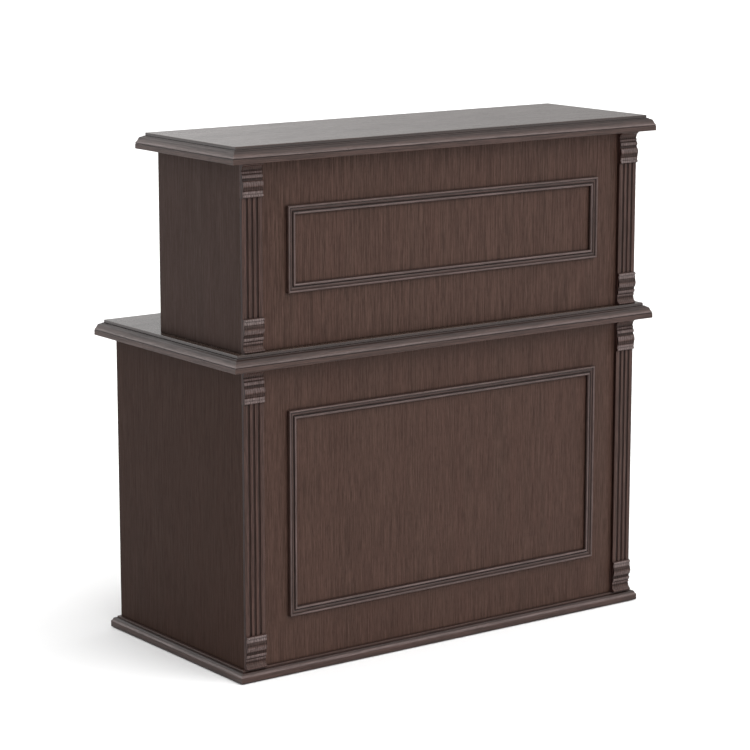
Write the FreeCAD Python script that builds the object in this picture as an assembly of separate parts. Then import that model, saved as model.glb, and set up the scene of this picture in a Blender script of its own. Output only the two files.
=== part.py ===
"""Two-tier wooden book return counter, closed at the front, served from the back.

Frame: millimetres, +Z up, origin on the floor under the middle of the bounding box.
The public front faces -Y and the staff side faces +Y. Left and right are as seen from the front.
"""
import FreeCAD
import Part
import os
from FreeCAD import Vector

# ---------------------------------------------------------------- driving dimensions
TOP_WIDTH = 1200.0             # over the moulded tops, the widest part
TOP_OVERHANG_SIDE = 38.0       # tops past the carcass sides
TOP_OVERHANG_FRONT = 34.5      # tops past the front panel and past the back edge
TOP_THICKNESS = 36.5
LOWER_DEPTH = 527.0            # lower carcass, front panel face to back edge
UPPER_DEPTH = 330.0            # upper carcass, flush with the lower one at the front
LOWER_TIER_HEIGHT = 676.0      # base board to worktop
UPPER_TIER_HEIGHT = 415.0      # worktop to upper top
GLIDE_HEIGHT = 2.0             # floor glides below the base board
BASE_THICKNESS = 26.5
BASE_PROJECTION = 18.0         # base board past the carcass all round
BOARD = 18.0                   # panels, shelves, rails and doors

PILASTER_WIDTH = 52.0
PILASTER_PROUD = 8.0
FLUTE_RADIUS = 3.0
FLUTE_COUNT = 3
BLOCK_HEIGHT = 76.5            # carved block at each end of a pilaster
FRAME_MOULDING_WIDTH = 20.5
FRAME_MARGIN_SIDE = 119.5      # carcass side to frame moulding
UPPER_FRAME_BELOW = 121.0      # worktop to frame moulding
UPPER_FRAME_ABOVE = 102.0      # frame moulding to upper top
LOWER_FRAME_BELOW = 102.5      # base board to frame moulding
LOWER_FRAME_ABOVE = 104.5      # frame moulding to worktop

DOOR_GAP_HINGE = 3.0           # door edge to carcass side
DOOR_GAP_MEETING = 3.0         # between the two doors
DOOR_GAP_ENDS = 3.0            # above and below the doors
DOOR_STOP_GAP = 0.5            # door to the rails and partition behind it
KNOB_FROM_CENTRE = 40.0
KNOB_HEIGHT = 470.0
LOCK_FROM_CENTRE = 45.0
LOCK_HEIGHT = 410.0

HINGE_LENGTH = 76.0
HINGE_FROM_END = 90.0          # door end to hinge
HINGE_KNUCKLES = 5
HINGE_KNUCKLE_GAP = 0.4
HINGE_KNUCKLE_RADIUS = 4.5
HINGE_PIN_RADIUS = 2.0
HINGE_BORE_RADIUS = 2.05
HINGE_LEAF = 1.2
HINGE_LEAF_DEPTH = 16.0        # leaf depth along the door's edge
HINGE_AXIS_OUT = 5.0           # pin axis behind the back faces of the doors

SHELF_SETBACK = 22.0           # shelf edge in front of the partition's back edge
LOWER_SHELF_HEIGHT = 330.0     # underside above the base board
UPPER_SHELF_HEIGHT = 197.0     # underside above the worktop
PIN_RADIUS = 2.5
PIN_LENGTH = 16.0
PIN_INSET = 8.0                # blind hole depth in the boards
PIN_CLEARANCE = 0.05
RAIL_HEIGHT = 70.0
CORNER_BLOCK = 20.0

# ---------------------------------------------------------------- derived places
HALF_WIDTH = TOP_WIDTH / 2 - TOP_OVERHANG_SIDE
OVERALL_DEPTH = LOWER_DEPTH + 2 * TOP_OVERHANG_FRONT
FRONT_Y = -OVERALL_DEPTH / 2 + TOP_OVERHANG_FRONT
LOWER_BACK_Y = FRONT_Y + LOWER_DEPTH
UPPER_BACK_Y = FRONT_Y + UPPER_DEPTH
INNER_X = HALF_WIDTH - BOARD
INNER_FRONT_Y = FRONT_Y + BOARD
BASE_TOP_Z = GLIDE_HEIGHT + BASE_THICKNESS
LOWER_TOP_Z = BASE_TOP_Z + LOWER_TIER_HEIGHT
WORKTOP_Z = LOWER_TOP_Z + TOP_THICKNESS
UPPER_TOP_Z = WORKTOP_Z + UPPER_TIER_HEIGHT
HALF_BOARD = BOARD / 2
DOOR_INNER_Y = LOWER_BACK_Y - BOARD
DOOR_STOP_Y = DOOR_INNER_Y - DOOR_STOP_GAP
DOOR_BOTTOM_Z = BASE_TOP_Z + DOOR_GAP_ENDS
DOOR_TOP_Z = LOWER_TOP_Z - DOOR_GAP_ENDS
HINGE_AXIS_X = INNER_X - DOOR_GAP_HINGE / 2
HINGE_AXIS_Y = LOWER_BACK_Y + HINGE_AXIS_OUT
SIDES = {"left": -1, "right": 1}

UP = Vector(0, 0, 1)
ALONG_X = Vector(1, 0, 0)
ALONG_Y = Vector(0, 1, 0)
ORIGIN = Vector(0, 0, 0)


# ---------------------------------------------------------------- shape helpers
def box(x_span, y_span, z_span):
    """Box between two corners given as (low, high) pairs."""
    spans = [sorted(span) for span in (x_span, y_span, z_span)]
    size = [high - low for low, high in spans]
    return Part.makeBox(*size, Vector(*[low for low, high in spans]))


def cylinder(radius, start, length, direction):
    """Cylinder from a start point along a direction."""
    return Part.makeCylinder(radius, length, Vector(*start), direction)


def outline(start, *steps):
    """Closed face in the XY plane: a step is a point, or (through, end) for an arc."""
    edges = []
    here = start
    for step in steps + (start,):
        if isinstance(step[0], tuple):
            through, end = step
            points = [Vector(*point, 0) for point in (here, through, end)]
            edges.append(Part.Arc(*points).toShape())
        else:
            end = step
            edges.append(Part.LineSegment(Vector(*here, 0), Vector(*end, 0)).toShape())
        here = end
    return Part.Face(Part.Wire(edges))


def joined(*solids):
    """One solid from touching or overlapping ones."""
    shape = solids[0].multiFuse(list(solids[1:])).removeSplitter()
    return shape.Solids[0]


def mirrored(shape, side):
    """The shape as drawn for the right side, or its mirror image for the left."""
    if side > 0:
        return shape
    return shape.mirror(ORIGIN, ALONG_X)


def export(name, *solids):
    """Write one node: a single solid, or a group of separate solids."""
    shape = solids[0] if len(solids) == 1 else Part.makeCompound(list(solids))
    shape.exportStep("parts/" + name + ".step")


# ---------------------------------------------------------------- moulded boards
def top_edge_waste():
    """Waste outside the edge moulding of a top, as (inset, drop) from its upper outer corner."""
    return outline(
        (16.5, 1.0),
        (16.5, -6.2),
        (13.0, -7.0),
        ((12.4, -8.2), (11.2, -8.8)),
        ((8.6, -9.7), (5.8, -11.6)),
        (5.5, -12.6),
        ((3.3, -18.8), (0.0, -23.6)),
        (-1.0, -23.6),
        (-1.0, 1.0),
    )


def base_edge_waste():
    """Waste outside the edge moulding of the base board."""
    return outline(
        (11.0, 1.0),
        (11.0, -3.4),
        (8.6, -3.9),
        ((6.2, -4.6), (4.0, -6.2)),
        (3.8, -7.0),
        ((2.4, -10.0), (0.0, -12.4)),
        (-1.0, -12.4),
        (-1.0, 1.0),
    )


def moulded_board(width, y_span, z_span, waste):
    """Board whose four edges carry the same moulding, mitred at the corners."""
    depth = y_span[1] - y_span[0]
    board = box((-width / 2, width / 2), (-depth / 2, depth / 2), (z_span[0] - z_span[1], 0))
    for quarter in range(4):
        span, length = (width, depth) if quarter % 2 == 0 else (depth, width)
        cutter = waste.copy()
        cutter.rotate(ORIGIN, ALONG_X, 90)
        cutter.translate(Vector(-span / 2, length, 0))
        cutter = cutter.extrude(Vector(0, -2 * length, 0))
        cutter.rotate(ORIGIN, UP, 90 * quarter)
        board = board.cut(cutter)
    board.translate(Vector(0, sum(y_span) / 2, z_span[1]))
    return board.Solids[0]


def top_board(back_y, z_low):
    """Moulded top over a carcass that reaches back to back_y."""
    y_span = (FRONT_Y - TOP_OVERHANG_FRONT, back_y + TOP_OVERHANG_FRONT)
    return moulded_board(TOP_WIDTH, y_span, (z_low, z_low + TOP_THICKNESS), top_edge_waste())


def base_board():
    """Moulded base board under the lower carcass."""
    width = 2 * (HALF_WIDTH + BASE_PROJECTION)
    y_span = (FRONT_Y - BASE_PROJECTION, LOWER_BACK_Y + BASE_PROJECTION)
    return moulded_board(width, y_span, (GLIDE_HEIGHT, BASE_TOP_Z), base_edge_waste())


def floor_glides():
    """Six low round glides under the base board."""
    inset = 60.0
    radius = 19.0
    places = []
    for x in (-HALF_WIDTH + inset, 0, HALF_WIDTH - inset):
        for y in (FRONT_Y + inset, LOWER_BACK_Y - inset):
            places.append((x, y, 0))
    return [cylinder(radius, place, GLIDE_HEIGHT, UP) for place in places]


# ---------------------------------------------------------------- carcass boards
def pin_holes(x_face, direction, y_places, z):
    """Blind shelf pin holes bored into a board from its face at x_face."""
    radius = PIN_RADIUS + PIN_CLEARANCE
    depth = PIN_INSET + PIN_CLEARANCE
    return [cylinder(radius, (x_face, y, z), depth, direction) for y in y_places]


def lower_pin_places():
    """The front and back pin of a lower shelf, and the height of their axes."""
    y_places = (INNER_FRONT_Y + 60.0, DOOR_STOP_Y - 90.0)
    return y_places, BASE_TOP_Z + LOWER_SHELF_HEIGHT - PIN_RADIUS


def lower_side(side):
    """Side panel of the lower carcass, drilled for the shelf pins."""
    panel = box((INNER_X, HALF_WIDTH), (FRONT_Y, LOWER_BACK_Y), (BASE_TOP_Z, LOWER_TOP_Z))
    y_places, z = lower_pin_places()
    for hole in pin_holes(INNER_X, ALONG_X, y_places, z):
        panel = panel.cut(hole)
    return mirrored(panel.Solids[0], side)


def lower_partition():
    """Upright in the middle of the cupboard, drilled from both faces."""
    y_span = (INNER_FRONT_Y, DOOR_STOP_Y)
    panel = box((-HALF_BOARD, HALF_BOARD), y_span, (BASE_TOP_Z, LOWER_TOP_Z))
    y_places, z = lower_pin_places()
    for side, y in ((side, y) for side in SIDES.values() for y in y_places):
        direction = Vector(-side, 0, 0)
        radius = PIN_RADIUS + PIN_CLEARANCE
        panel = panel.cut(cylinder(radius, (side * HALF_BOARD, y, z), PIN_INSET / 2, direction))
    return panel.Solids[0]


def shelf_pins():
    """Four pins under each lower shelf, half in a blind hole and half under the shelf."""
    y_places, z = lower_pin_places()
    pins = []
    for side in SIDES.values():
        for y in y_places:
            outer = (side * (INNER_X + PIN_INSET), y, z)
            inner = (side * (HALF_BOARD - PIN_INSET / 2 + PIN_CLEARANCE), y, z)
            pins.append(cylinder(PIN_RADIUS, outer, PIN_LENGTH, Vector(-side, 0, 0)))
            pins.append(cylinder(PIN_RADIUS, inner, PIN_LENGTH * 3 / 4, Vector(side, 0, 0)))
    return pins


def bay(side, clearance=0.0):
    """X span of the bay on one side of a partition, less a clearance at each end."""
    return (side * (HALF_BOARD + clearance), side * (INNER_X - clearance))


def lower_shelf(side):
    """Adjustable shelf lying on its four pins."""
    z = BASE_TOP_Z + LOWER_SHELF_HEIGHT
    y_span = (INNER_FRONT_Y + 1.0, DOOR_STOP_Y - SHELF_SETBACK)
    return box(bay(side, 1.0), y_span, (z, z + BOARD))


def lower_rail(side):
    """Top rail behind a door, which carries the worktop's back edge and stops the door."""
    z_span = (LOWER_TOP_Z - RAIL_HEIGHT, LOWER_TOP_Z)
    return box(bay(side), (DOOR_STOP_Y - BOARD, DOOR_STOP_Y), z_span)


def front_panel(z_span):
    """Front panel set between the side panels."""
    return box((-INNER_X, INNER_X), (FRONT_Y, INNER_FRONT_Y), z_span)


def upper_side(side):
    """Side panel of the upper carcass."""
    span = (FRONT_Y, UPPER_BACK_Y)
    return mirrored(box((INNER_X, HALF_WIDTH), span, (WORKTOP_Z, UPPER_TOP_Z)), side)


def upper_partition():
    """Upright in the middle of the open upper tier."""
    y_span = (INNER_FRONT_Y, UPPER_BACK_Y)
    return box((-HALF_BOARD, HALF_BOARD), y_span, (WORKTOP_Z, UPPER_TOP_Z))


def upper_shelf(side):
    """Fixed shelf of the open upper tier."""
    z = WORKTOP_Z + UPPER_SHELF_HEIGHT
    return box(bay(side), (INNER_FRONT_Y, UPPER_BACK_Y - SHELF_SETBACK), (z, z + BOARD))


def corner_blocks():
    """Joint blocks in the front corners of every bay, under the worktop and the upper top."""
    blocks = []
    for z in (LOWER_TOP_Z, UPPER_TOP_Z):
        for side in SIDES.values():
            for x in (HALF_BOARD, INNER_X - CORNER_BLOCK):
                x_span = (side * x, side * (x + CORNER_BLOCK))
                y_span = (INNER_FRONT_Y, INNER_FRONT_Y + CORNER_BLOCK)
                block = box(x_span, y_span, (z - CORNER_BLOCK, z))
                lower_edges = [edge for edge in block.Edges
                               if edge.BoundBox.ZMax < z - CORNER_BLOCK + 1]
                blocks.append(block.makeChamfer(2.0, lower_edges).Solids[0])
    return blocks


# ---------------------------------------------------------------- front ornament
def pilaster_shaft(z_span, side):
    """Fluted strip between two carved blocks."""
    x_low = HALF_WIDTH - PILASTER_WIDTH
    face_y = FRONT_Y - PILASTER_PROUD
    shaft = box((x_low, HALF_WIDTH), (face_y, FRONT_Y), z_span)
    for flute in range(1, FLUTE_COUNT + 1):
        x = x_low + PILASTER_WIDTH * flute / (FLUTE_COUNT + 1)
        length = z_span[1] - z_span[0]
        shaft = shaft.cut(cylinder(FLUTE_RADIUS, (x, face_y, z_span[0]), length, UP))
    return mirrored(shaft.Solids[0], side)


def carved_block(z_end, side, hanging):
    """Carved block of a pilaster: it hangs from z_end, or stands on z_end upside down.

    The section is drawn as (proud of the shaft, height from the fixed end).
    """
    shaft = PILASTER_PROUD
    section = outline(
        (-shaft, 0.0),
        (5.5, 0.0),
        ((6.9, -2.4), (5.8, -5.0)),
        ((0.4, -10.0), (-0.9, -17.0)),
        ((-0.2, -22.5), (2.9, -28.5)),
        (3.1, -31.5),
        (1.5, -33.0),
        ((2.3, -38.5), (4.7, -44.0)),
        ((6.8, -52.5), (4.9, -61.0)),
        (2.4, -69.0),
        (4.9, -70.0),
        ((5.8, -72.0), (4.7, -74.2)),
        (0.6, -BLOCK_HEIGHT),
        (-shaft, -BLOCK_HEIGHT),
    )
    section.rotate(ORIGIN, ALONG_X, 90)
    section.rotate(ORIGIN, UP, -90)
    block = section.extrude(Vector(PILASTER_WIDTH, 0, 0))
    if not hanging:
        block = block.mirror(ORIGIN, UP)
    block.translate(Vector(HALF_WIDTH - PILASTER_WIDTH, FRONT_Y - PILASTER_PROUD, z_end))
    return mirrored(block, side)


def frame_section():
    """Section of the applied frame moulding, as (distance in from its outer edge, height)."""
    return outline(
        (0.0, 0.0),
        (0.0, 7.6),
        ((2.3, 9.4), (4.8, 7.9)),
        (5.8, 6.3),
        ((8.8, 7.3), (11.8, 5.9)),
        (13.0, 4.6),
        ((16.6, 8.2), (19.6, 6.4)),
        (FRAME_MOULDING_WIDTH, 4.6),
        (FRAME_MOULDING_WIDTH, 0.0),
    )


def frame_member(length, distance):
    """Bottom member of a frame, mitred at both ends, its outer edge this far below the centre."""
    half = length / 2
    member = frame_section()
    member.rotate(ORIGIN, ALONG_X, 90)
    member.rotate(ORIGIN, UP, 90)
    member.rotate(ORIGIN, ALONG_X, 90)
    member = member.extrude(Vector(length, 0, 0))
    member.translate(Vector(-half, 0, 0))
    mitre = outline(
        (-half, 0.0),
        (half, 0.0),
        (half - FRAME_MOULDING_WIDTH, FRAME_MOULDING_WIDTH),
        (FRAME_MOULDING_WIDTH - half, FRAME_MOULDING_WIDTH),
    )
    mitre.rotate(ORIGIN, ALONG_X, 90)
    mitre.translate(Vector(0, 1, 0))
    member = member.common(mitre.extrude(Vector(0, -20, 0)))
    member.translate(Vector(0, 0, -distance))
    return member.Solids[0]


def frame_members(z_span):
    """The four members of an applied frame, by name."""
    width = 2 * (HALF_WIDTH - FRAME_MARGIN_SIDE)
    height = z_span[1] - z_span[0]
    members = {}
    for quarter, name in enumerate(("bottom_rail", "left_stile", "top_rail", "right_stile")):
        length, across = (width, height) if quarter % 2 == 0 else (height, width)
        member = frame_member(length, across / 2)
        member.rotate(ORIGIN, ALONG_Y, 90 * quarter)
        member.translate(Vector(0, FRONT_Y, sum(z_span) / 2))
        members[name] = member
    return members


# ---------------------------------------------------------------- doors and their fittings
def lock_bore():
    """Hole through the right door for the lock's barrel."""
    return cylinder(8.5, (LOCK_FROM_CENTRE, DOOR_INNER_Y - 1, LOCK_HEIGHT), BOARD + 2, ALONG_Y)


def door(side):
    """Flush door set between the side panels."""
    x_span = (DOOR_GAP_MEETING / 2, INNER_X - DOOR_GAP_HINGE)
    leaf = box(x_span, (DOOR_INNER_Y, LOWER_BACK_Y), (DOOR_BOTTOM_Z, DOOR_TOP_Z))
    if side > 0:
        leaf = leaf.cut(lock_bore())
    return mirrored(leaf.Solids[0], side)


def door_knob(side):
    """Turned knob on the back face of a door."""
    profile = outline(
        (0.0, 0.0),
        (9.5, 0.0),
        (9.5, 2.0),
        ((6.0, 4.4), (5.4, 9.0)),
        ((8.6, 12.6), (13.0, 14.8)),
        ((14.9, 18.4), (12.2, 22.4)),
        ((7.8, 24.8), (2.5, 26.0)),
        (0.0, 26.0),
    )
    knob = profile.revolve(ORIGIN, ALONG_Y, 360)
    knob.translate(Vector(side * KNOB_FROM_CENTRE, LOWER_BACK_Y, KNOB_HEIGHT))
    return knob


def hinge_centres():
    """Heights of the middles of a door's two hinges."""
    reach = HINGE_FROM_END + HINGE_LENGTH / 2
    return (DOOR_BOTTOM_Z + reach, DOOR_TOP_Z - reach)


def hinge_leaf(z_middle, on_door):
    """One leaf of a right-hand butt hinge with its own knuckles."""
    gap = HINGE_KNUCKLE_GAP
    pitch = HINGE_LENGTH / HINGE_KNUCKLES
    foot = z_middle - HINGE_LENGTH / 2
    outer_x = INNER_X - DOOR_GAP_HINGE if on_door else INNER_X
    inner_x = outer_x + HINGE_LEAF if on_door else outer_x - HINGE_LEAF
    y_span = (LOWER_BACK_Y - HINGE_LEAF_DEPTH, HINGE_AXIS_Y)
    solids = [box((outer_x, inner_x), y_span, (foot, foot + HINGE_LENGTH))]
    own = [index for index in range(HINGE_KNUCKLES) if (index % 2 == 1) == on_door]
    other = [index for index in range(HINGE_KNUCKLES) if index not in own]
    axis = (HINGE_AXIS_X, HINGE_AXIS_Y)
    for index in own:
        start = (*axis, foot + index * pitch + gap / 2)
        solids.append(cylinder(HINGE_KNUCKLE_RADIUS, start, pitch - gap, UP))
    leaf = joined(*solids)
    for index in other:
        start = (*axis, foot + index * pitch - gap / 2)
        leaf = leaf.cut(cylinder(HINGE_KNUCKLE_RADIUS + gap, start, pitch + gap, UP))
    bore = cylinder(HINGE_BORE_RADIUS, (*axis, foot - 1), HINGE_LENGTH + 2, UP)
    return leaf.cut(bore).Solids[0]


def hinge_leaves(side, on_door):
    """The two leaves of one kind on one door."""
    return [mirrored(hinge_leaf(z, on_door), side) for z in hinge_centres()]


def hinge_pins(side):
    """Pins with a round head at the top and a tip at the bottom, one per hinge."""
    head = 3.2
    pins = []
    for z in hinge_centres():
        foot = z - HINGE_LENGTH / 2
        start = (side * HINGE_AXIS_X, HINGE_AXIS_Y, foot)
        shank = cylinder(HINGE_PIN_RADIUS, start, HINGE_LENGTH + head / 2, UP)
        ball = Part.makeSphere(head, Vector(start[0], start[1], foot + HINGE_LENGTH + head))
        pins.append(joined(shank, ball))
    return pins


def lock_body():
    """Flanged lock barrel through the right door, and the nut behind it."""
    x, z = LOCK_FROM_CENTRE, LOCK_HEIGHT
    flange = cylinder(11.5, (x, LOWER_BACK_Y, z), 2.4, ALONG_Y)
    tube = cylinder(8.4, (x, DOOR_INNER_Y - 7.0, z), BOARD + 7.0, ALONG_Y)
    bore = cylinder(6.05, (x, DOOR_INNER_Y - 8.0, z), BOARD + 12.0, ALONG_Y)
    barrel = joined(flange, tube).cut(bore).Solids[0]
    across = 12.4
    corners = [Vector(across, 0, 0)]
    turn = FreeCAD.Rotation(ALONG_Y, 60)
    for _ in range(6):
        corners.append(turn.multVec(corners[-1]))
    nut = Part.Face(Part.makePolygon(corners)).extrude(Vector(0, 4.0, 0))
    nut = nut.cut(cylinder(8.45, (0, -1, 0), 6, ALONG_Y))
    nut.translate(Vector(x, DOOR_INNER_Y - 4.0, z))
    return [barrel, nut.Solids[0]]


def lock_plug():
    """Turning plug with its key slot and the square end that carries the cam."""
    x, z = LOCK_FROM_CENTRE, LOCK_HEIGHT
    cam_y = DOOR_INNER_Y - 10.0
    plug = cylinder(6.0, (x, DOOR_INNER_Y - 8.0, z), BOARD + 11.0, ALONG_Y)
    square = box((x - 3, x + 3), (cam_y - 1.0, DOOR_INNER_Y - 7.5), (z - 3, z + 3))
    slot = box((x - 1.2, x + 1.2), (DOOR_INNER_Y, LOWER_BACK_Y + 4), (z - 4.2, z + 4.2))
    return joined(plug, square).cut(slot).Solids[0]


def lock_cam():
    """Flat cam on the plug's square end, hanging down when the door is free."""
    x, z = LOCK_FROM_CENTRE, LOCK_HEIGHT
    y_span = (DOOR_INNER_Y - 10.0, DOOR_INNER_Y - 8.0)
    reach = 32.0
    half = 7.0
    arm = box((x - half, x + half), y_span, (z - reach, z))
    eye = cylinder(half, (x, y_span[0], z), y_span[1] - y_span[0], ALONG_Y)
    hole = box((x - 3.05, x + 3.05), (y_span[0] - 1, y_span[1] + 1), (z - 3.05, z + 3.05))
    return joined(arm, eye).cut(hole).Solids[0]


def lock_key():
    """Key in the plug: a flat blade and a ring-shaped bow."""
    x, z = LOCK_FROM_CENTRE, LOCK_HEIGHT
    half = 1.0
    start_y = DOOR_INNER_Y + 1.0
    shoulder_y = LOWER_BACK_Y + 3.6
    bow_radius = 10.0
    bow_y = shoulder_y + 5.0 + bow_radius
    blade = box((x - half, x + half), (start_y, shoulder_y), (z - 4.0, z + 3.4))
    neck = box((x - half, x + half), (shoulder_y, bow_y), (z - 5.0, z + 5.0))
    bow = cylinder(bow_radius, (x - half, bow_y, z), 2 * half, ALONG_X)
    hole = cylinder(3.0, (x - half - 1, bow_y + 4.0, z), 2 * half + 2, ALONG_X)
    return joined(blade, neck, bow).cut(hole).Solids[0]


def lock_strike():
    """Angle on the partition that the cam turns behind."""
    gap_from_cam = 0.8
    y_back = DOOR_INNER_Y - 8.0 + gap_from_cam
    z_span = (LOCK_HEIGHT - 20, LOCK_HEIGHT + 20)
    plate = box((HALF_BOARD, HALF_BOARD + 1.8), (y_back - 22.0, y_back + 2.0), z_span)
    catch = box((HALF_BOARD, HALF_BOARD + 14.0), (y_back, y_back + 2.0), z_span)
    return joined(plate, catch)


def catch_place(side):
    """X span and Z span of the catch near the top of the meeting edge."""
    x_span = (side * (HALF_BOARD + 1.0), side * (HALF_BOARD + 15.0))
    z_span = (LOWER_TOP_Z - RAIL_HEIGHT - 62.0, LOWER_TOP_Z - RAIL_HEIGHT - 16.0)
    return x_span, z_span


def catch_magnet(side):
    """Magnet in its case on the side of the partition."""
    x_span, z_span = catch_place(side)
    x_span = (side * HALF_BOARD, x_span[1])
    return box(x_span, (DOOR_STOP_Y - 34.0, DOOR_STOP_Y - 1.5), z_span)


def catch_plate(side):
    """Steel plate on the inner face of a door, facing the magnet."""
    x_span, z_span = catch_place(side)
    return box(x_span, (DOOR_INNER_Y - 1.2, DOOR_INNER_Y), z_span)


# ---------------------------------------------------------------- export
def export_carcass():
    """Boards, tops and their small fixings."""
    export("base_board", base_board())
    export("floor_glides", *floor_glides())
    export("lower_front_panel", front_panel((BASE_TOP_Z, LOWER_TOP_Z)))
    export("lower_partition", lower_partition())
    export("shelf_pins", *shelf_pins())
    export("worktop", top_board(LOWER_BACK_Y, LOWER_TOP_Z))
    export("upper_front_panel", front_panel((WORKTOP_Z, UPPER_TOP_Z)))
    export("upper_partition", upper_partition())
    export("upper_top", top_board(UPPER_BACK_Y, UPPER_TOP_Z))
    export("corner_blocks", *corner_blocks())
    for word, side in SIDES.items():
        export("lower_" + word + "_side", lower_side(side))
        export("lower_" + word + "_shelf", lower_shelf(side))
        export("lower_" + word + "_rail", lower_rail(side))
        export("upper_" + word + "_side", upper_side(side))
        export("upper_" + word + "_shelf", upper_shelf(side))


def export_ornament():
    """Pilasters with their carved blocks, and the applied frames."""
    tiers = {
        "upper": (WORKTOP_Z, UPPER_TOP_Z, UPPER_FRAME_BELOW, UPPER_FRAME_ABOVE),
        "lower": (BASE_TOP_Z, LOWER_TOP_Z, LOWER_FRAME_BELOW, LOWER_FRAME_ABOVE),
    }
    for tier, (low, high, below, above) in tiers.items():
        for word, side in SIDES.items():
            shaft_span = (low + BLOCK_HEIGHT, high - BLOCK_HEIGHT)
            export(tier + "_" + word + "_pilaster", pilaster_shaft(shaft_span, side))
            export(tier + "_" + word + "_capital", carved_block(high, side, True))
            export(tier + "_" + word + "_plinth_block", carved_block(low, side, False))
        for member, solid in frame_members((low + below, high - above)).items():
            export(tier + "_frame_" + member, solid)


def export_doors():
    """Doors, hinges, knobs, catches and the lock."""
    for word, side in SIDES.items():
        export(word + "_door", door(side))
        export(word + "_knob", door_knob(side))
        export(word + "_hinge_case_leaves", *hinge_leaves(side, False))
        export(word + "_hinge_door_leaves", *hinge_leaves(side, True))
        export(word + "_hinge_pins", *hinge_pins(side))
        export(word + "_catch_plate", catch_plate(side))
    export("catch_magnets", *[catch_magnet(side) for side in SIDES.values()])
    export("lock_body", *lock_body())
    export("lock_plug", lock_plug())
    export("lock_cam", lock_cam())
    export("lock_key", lock_key())
    export("lock_strike", lock_strike())


def main():
    """Build and write every node."""
    os.makedirs("parts", exist_ok=True)
    export_carcass()
    export_ornament()
    export_doors()


main()
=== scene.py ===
"""Looks of a two-tier wooden book return counter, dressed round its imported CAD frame.

Every piece is in metres in the frame of the CAD model: the public front faces -Y, the staff
side faces +Y, and left and right are as seen from the front.
"""
import logging
import math
from dataclasses import dataclass, field, replace
from enum import Enum

import bmesh
import bpy
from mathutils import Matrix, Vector


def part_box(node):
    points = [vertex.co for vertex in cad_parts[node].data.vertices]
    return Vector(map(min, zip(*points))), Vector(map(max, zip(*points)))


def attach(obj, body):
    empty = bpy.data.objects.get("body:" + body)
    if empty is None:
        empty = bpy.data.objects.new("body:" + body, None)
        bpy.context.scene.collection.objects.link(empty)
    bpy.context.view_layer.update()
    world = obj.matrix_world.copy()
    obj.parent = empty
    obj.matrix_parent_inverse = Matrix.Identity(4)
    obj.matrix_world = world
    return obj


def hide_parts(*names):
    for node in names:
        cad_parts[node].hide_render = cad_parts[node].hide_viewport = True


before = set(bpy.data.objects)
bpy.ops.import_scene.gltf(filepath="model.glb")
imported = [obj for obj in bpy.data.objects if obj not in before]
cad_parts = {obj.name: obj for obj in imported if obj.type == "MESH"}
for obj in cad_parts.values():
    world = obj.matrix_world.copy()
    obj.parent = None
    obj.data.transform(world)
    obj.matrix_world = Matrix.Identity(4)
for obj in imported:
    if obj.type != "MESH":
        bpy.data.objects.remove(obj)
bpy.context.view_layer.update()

Point = tuple[float, float]
Colour = tuple[float, float, float]
Direction = tuple[float, float, float]

LOG = logging.getLogger("counter")
MM = 0.001
TIERS = ("upper", "lower")
SIDES = ("left", "right")
FIXED_BODY = "counter"
GLAZE_AND_PAINTED_LIGHT_LAYER = "glaze_and_painted_light"
RIGHTWARD = Vector((1, 0, 0))
BACKWARD = Vector((0, 1, 0))
FORWARD = Vector((0, -1, 0))
UP = Vector((0, 0, 1))


class Grain(Enum):
    """The direction in which a piece's grain runs."""

    SIDEWAYS = 0
    DEPTHWAYS = 1
    UPRIGHT = 2


class Slot(Enum):
    """The record's material slots."""

    PANEL = "panel_wood"
    MOULDING = "moulding_wood"
    TOP = "top_wood"
    BRASS = "aged_brass"
    STEEL = "steel_fittings"
    GLIDE = "glide_plastic"
    BLOCK = "block_plastic"


# ---------------------------------------------------------------- shader bench
@dataclass(frozen=True)
class Pattern:
    """Fractal noise, drawn out along the grain where it is given one."""

    per_metre: float
    detail: float
    rough: float = 0.5
    stretch: float = 1.0


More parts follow.
